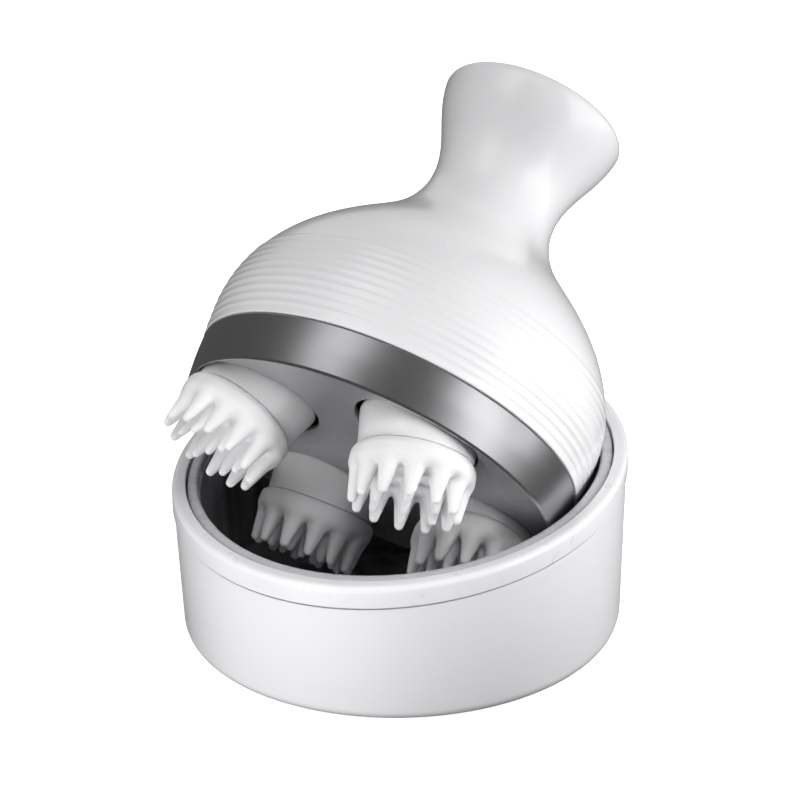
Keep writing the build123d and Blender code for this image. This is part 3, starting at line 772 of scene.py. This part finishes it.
def surface_of(field, low, step):
    """Closed quad mesh of the zero level of a sampled field, one point per crossed cell."""
    inside = field < 0
    shape = np.array(field.shape) - 1
    total = np.zeros((*shape, 3))
    count = np.zeros(shape)
    corners = [(i, j, k) for i in (0, 1) for j in (0, 1) for k in (0, 1)]
    view = {c: field[tuple(slice(c[n], c[n] + shape[n]) for n in range(3))] for c in corners}
    for c in corners:
        for axis in range(3):
            if c[axis]:
                continue
            d = tuple(v + (n == axis) for n, v in enumerate(c))
            a, b = view[c], view[d]
            crossed = (a < 0) != (b < 0)
            share = np.where(crossed, a / np.where(crossed, a - b, 1), 0)
            for n in range(3):
                total[..., n] += np.where(crossed, c[n] + (share if n == axis else 0), 0)
            count += crossed
    used = count > 0
    number = np.full(shape, -1)
    number[used] = np.arange(used.sum())
    cells = np.argwhere(used)
    verts = low + step * (cells + total[used] / count[used][:, None])
    faces = []
    for axis in range(3):
        u, v = [n for n in range(3) if n != axis]
        upper = np.roll(inside, -1, axis)
        crossing = np.argwhere(inside != upper)
        for p in crossing:
            if p[axis] >= shape[axis] or p[u] < 1 or p[v] < 1:
                continue
            ring = []
            for du, dv in ((0, 0), (1, 0), (1, 1), (0, 1)):
                q = p.copy()
                q[u] -= du
                q[v] -= dv
                ring.append(int(number[tuple(q)]))
            faces.append(ring)
    return verts, faces


def make_brush_mesh(phase):
    """Points and faces of one silicone brush in its head's frame."""
    reach = 17.0
    low = np.array((-reach, -reach, BRUSH_TIP - 1.0))
    high = np.array((reach, reach, BRUSH_TOP + 1.0))
    counts = np.ceil((high - low) / CELL).astype(int)
    axes = [low[n] + CELL * np.arange(counts[n]) for n in range(3)]
    x, y, z = np.meshgrid(*axes, indexing="ij")
    return surface_of(brush_field(x, y, z, phase), low, CELL)


def make_heads():
    """Collar hub and silicone brush of each head."""
    hub = [(0, STEM_BORE_LOW, 0), (STEM_BORE, STEM_BORE_LOW, 0.2), (STEM_BORE, STEM_TOP, 0.1),
           (STEM_R, STEM_TOP, 0.2), (STEM_R, GROOVE[1], 0), (GROOVE_R, GROOVE[1], 0),
           (GROOVE_R, GROOVE[0], 0), (STEM_R, GROOVE[0], 0), (STEM_R, COLLAR_TOP, 0.2),
           (COLLAR_R, COLLAR_TOP, 0.9), (COLLAR_LOW_R, COLLAR_LOW, 0.35),
           (COLLAR_IN_R[1], COLLAR_LOW, 0.2), (COLLAR_IN_R[0], COLLAR_FLOOR, 0.8),
           (STEM_R, COLLAR_FLOOR, 0.4), (STEM_R, STEM_LOW, 0.3), (0, STEM_LOW, 0)]
    w, h = PIN_SLOT[0] / 2, PIN_SLOT[1] / 2
    slot = [(w, h), (-w, h), (-w, -h), (w, -h)]
    for k in HEADS:
        body = f"massage_head_{k}"
        collar = turned(f"head_collar_{k}", body, "collar_white", hub, HEAD[k],
                        [f"head_hub_{k}"], 112, 5)
        cut(collar, slot, PIN_SLOT_DEPTH, HEAD[k] @ Matrix.Translation((0, 0, PIN_SLOT_LOW)))
        verts, faces = make_brush_mesh(math.radians(PHASES[k]))
        brush = piece(f"finger_brush_{k}", body, "silicone_white", verts, faces, HEAD[k],
                      [f"silicone_brush_{k}"], 80)
        smooth = brush.modifiers.new("soften", "SMOOTH")
        smooth.factor = 0.5
        smooth.iterations = 2


make_heads()

# ---- the other CAD nodes keep their shape and get a finish -----------------------------
KEPT = {
    "base_grey": ["dock_base"],
    "pad_rubber": ["foot_pad"],
    "steel": ["dock_screws", "chassis_screws", "sun_axle", "motor_can", "motor_shaft", "usb_socket"]
             + [f"{n}_{k}" for n in ("drive_pin", "retaining_ring") for k in HEADS],
    "copper": ["transmitter_coil", "receiver_coil"],
    "brass": ["motor_pinion", "head_bushes"],
    "board_green": ["dock_board", "control_board"],
    "gear_nylon": ["sun_gear", "idler_gear"] + [f"head_gear_{k}" for k in HEADS],
    "switch_black": ["bearing_plate", "chassis_plate", "motor_bracket", "battery_holder",
                     "tactile_switch"] + [f"brush_carrier_{k}" for k in HEADS],
    "cell_wrap": ["battery_cell"],
    "lens_clear": ["status_lens"],
}
for look, names in KEPT.items():
    for name in names:
        node = frame["nodes"][name]
        node.data.materials.clear()
        node.data.materials.append(LOOKS[look].material)


# ---- stage and lights, in metres -------------------------------------------------------
LIT_POINT = Vector((0, 0, 0.05))
HEADS_POINT = Vector((-0.008, -0.035, 0.062))
FLOOR_REACH = 6.0
WALL_HEIGHT = 4.0
WORLD_STRENGTH = 0.085
SURFACE_LIGHTS = {
    # name: azimuth, elevation, distance, size, watts
    "key": (300, 55, 1.1, (0.8, 0.8), 6.4),
    "upper_left": (228, 50, 1.1, (0.8, 0.8), 2.7),
    "upper_right": (350, 32, 1.1, (0.8, 0.8), 1.2),
    "upper_back": (140, 33, 1.1, (0.8, 0.8), 1.2),
    "low_front_left": (238, -11, 0.174, (0.10, 0.05), 0.13),
    "low_right": (2, 3, 0.25, (0.14, 0.14), 0.42),
    "low_left": (172, -5, 0.25, (0.14, 0.14), 0.15),
    "mid_left": (196, 10, 0.28, (0.15, 0.15), 0.06),
}
HEAD_LIGHT = (320, 10, 0.32, (0.08, 0.08), 0.016)
HEAD_LIGHT_SPREAD = 36
REFLECTED_CARDS = {
    # pale cards that only show as highlights on the shell, the band and the bowl
    "overhead_card": (214, 65, 0.75, (0.36, 0.50), 0.62),
    "right_card": (329, 19, 0.9, (0.42, 0.60), 1.45),
    "low_card": (0, -2, 0.9, (0.60, 0.12), 0.5),
    "back_card": (90, 27, 0.9, (0.80, 0.60), 0.7),
}


def stage_piece(name, look, verts, faces):
    """A part of the pale surroundings. It neither lights the object nor shows in it."""
    mesh = bpy.data.meshes.new(name)
    mesh.from_pydata(verts, [], faces)
    mesh.materials.append(look.material)
    obj = bpy.data.objects.new(name, mesh)
    obj.visible_diffuse = False
    obj.visible_glossy = False
    bpy.context.scene.collection.objects.link(obj)
    return obj


def make_stage():
    """Plain pale floor that the dock stands on, and an even wall far behind it."""
    look = Look("floor", (0.9, 0.9, 0.9), roughness=0.9)
    look.tint(look.noise(0.006), 0.99, 1.01)
    look.set("Emission Color", (1, 1, 1, 1))
    look.set("Emission Strength", 0.9)
    corners = [(-1, -1), (1, -1), (1, 1), (-1, 1)]
    low = [(FLOOR_REACH * x, FLOOR_REACH * y, 0) for x, y in corners]
    high = [(x, y, WALL_HEIGHT) for x, y, _ in low]
    stage_piece("floor", look, low, [(0, 1, 2, 3)])
    sides = [(k, (k + 1) % 4, (k + 1) % 4 + 4, k + 4) for k in range(4)]
    wall = stage_piece("wall", look, low + high, sides)
    wall.visible_shadow = False         # so the world's light still reaches the object


def make_light(name, place, highlight, aim=LIT_POINT, spread=180):
    """Soft rectangular light aimed at the object. It lights surfaces or is their highlight."""
    azimuth, elevation, distance, size, watts = place
    turn, rise = math.radians(azimuth), math.radians(elevation)
    way = Vector((math.cos(rise) * math.cos(turn), math.cos(rise) * math.sin(turn), math.sin(rise)))
    data = bpy.data.lights.new(name, "AREA")
    data.shape = "RECTANGLE"
    data.size, data.size_y = size
    data.energy = watts
    data.spread = math.radians(spread)
    light = bpy.data.objects.new(name, data)
    light.location = aim + distance * way
    light.rotation_euler = (-way).to_track_quat("-Z", "Y").to_euler()
    light.visible_glossy = highlight
    light.visible_diffuse = not highlight
    light.visible_camera = False
    bpy.context.scene.collection.objects.link(light)


def make_world():
    """Even pale surroundings."""
    world = bpy.data.worlds.new("studio")
    bpy.context.scene.world = world
    world.use_nodes = True
    background = world.node_tree.nodes["Background"]
    background.inputs["Color"].default_value = (1, 1, 1, 1)
    background.inputs["Strength"].default_value = WORLD_STRENGTH


make_stage()
make_world()
for name, place in SURFACE_LIGHTS.items():
    make_light(name, place, highlight=False)
make_light("head_light", HEAD_LIGHT, False, HEADS_POINT, HEAD_LIGHT_SPREAD)
for name, place in REFLECTED_CARDS.items():
    make_light(name, place, highlight=True)
bpy.context.scene.view_settings.view_transform = "Standard"
